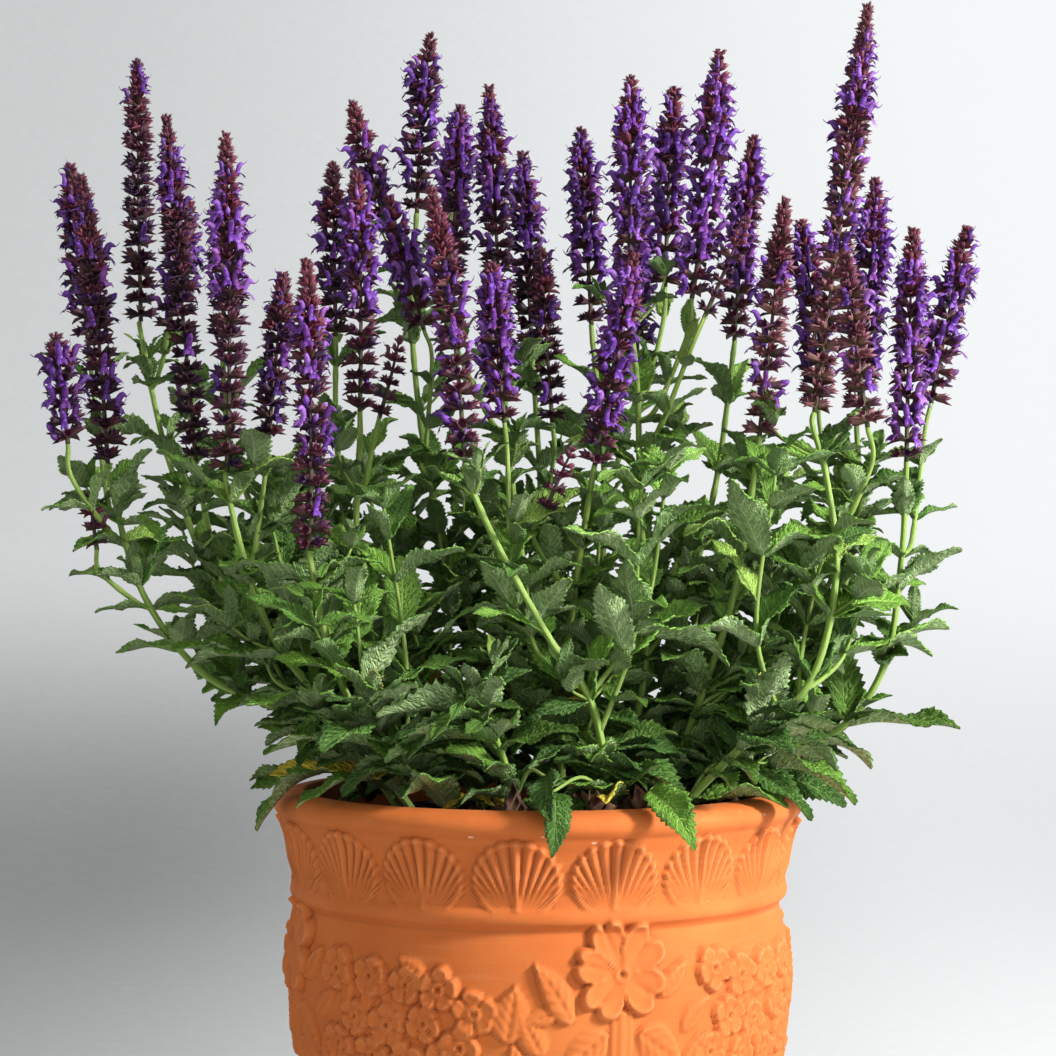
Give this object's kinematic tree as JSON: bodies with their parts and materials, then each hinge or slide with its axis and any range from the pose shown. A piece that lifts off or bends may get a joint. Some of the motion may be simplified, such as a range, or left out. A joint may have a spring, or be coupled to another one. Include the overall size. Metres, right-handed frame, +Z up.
{
  "type": "potted salvia",
  "caption": "Flowering salvia in a moulded terracotta pot: square leafy stems with crinkled opposite leaves, carrying upright violet flower spikes over a plain round foot.",
  "frame": {"origin": "on the pot's axis, in the middle of its flat underside", "axes": "+Z up the pot's axis, -Y towards the plant's front, +X to the right seen from the front"},
  "size_m": [0.5546, 0.3388, 0.744],
  "materials": {
    "terracotta": "matte",
    "potting_soil": "matte",
    "stem_and_leaf": "matte",
    "flower_spike": "matte"
  },
  "bodies": {
    "root": {"terracotta_pot": "terracotta", "potting_soil": "potting_soil", "leafy_stem_01": "stem_and_leaf", "leafy_stem_02": "stem_and_leaf", "leafy_stem_03": "stem_and_leaf", "leafy_stem_04": "stem_and_leaf", "leafy_stem_05": "stem_and_leaf", "leafy_stem_06": "stem_and_leaf", "leafy_stem_07": "stem_and_leaf", "leafy_stem_08": "stem_and_leaf", "leafy_stem_09": "stem_and_leaf", "leafy_stem_10": "stem_and_leaf", "leafy_stem_11": "stem_and_leaf", "leafy_stem_12": "stem_and_leaf", "leafy_stem_13": "stem_and_leaf", "leafy_stem_14": "stem_and_leaf", "leafy_stem_15": "stem_and_leaf", "leafy_stem_16": "stem_and_leaf", "leafy_stem_17": "stem_and_leaf", "leafy_stem_18": "stem_and_leaf", "leafy_stem_19": "stem_and_leaf", "leafy_stem_20": "stem_and_leaf", "leafy_shoot_01": "stem_and_leaf", "leafy_shoot_02": "stem_and_leaf", "leafy_shoot_03": "stem_and_leaf", "flower_spike_01": "flower_spike", "flower_spike_01_side_1": "flower_spike", "flower_spike_02": "flower_spike", "flower_spike_03": "flower_spike", "flower_spike_03_side_1": "flower_spike", "flower_spike_03_side_2": "flower_spike", "flower_spike_04": "flower_spike", "flower_spike_05": "flower_spike", "flower_spike_05_side_1": "flower_spike", "flower_spike_06": "flower_spike", "flower_spike_07": "flower_spike", "flower_spike_08": "flower_spike", "flower_spike_08_side_1": "flower_spike", "flower_spike_08_side_2": "flower_spike", "flower_spike_09": "flower_spike", "flower_spike_10": "flower_spike", "flower_spike_10_side_1": "flower_spike", "flower_spike_11": "flower_spike", "flower_spike_11_side_1": "flower_spike", "flower_spike_12": "flower_spike", "flower_spike_12_side_1": "flower_spike", "flower_spike_13": "flower_spike", "flower_spike_13_side_1": "flower_spike", "flower_spike_14": "flower_spike", "flower_spike_14_side_1": "flower_spike", "flower_spike_14_side_2": "flower_spike", "flower_spike_15": "flower_spike", "flower_spike_16": "flower_spike", "flower_spike_17": "flower_spike", "flower_spike_18": "flower_spike", "flower_spike_18_side_1": "flower_spike", "flower_spike_19": "flower_spike", "flower_spike_19_side_1": "flower_spike", "flower_spike_20": "flower_spike", "flower_spike_20_side_1": "flower_spike"}
  },
  "joints": []
}
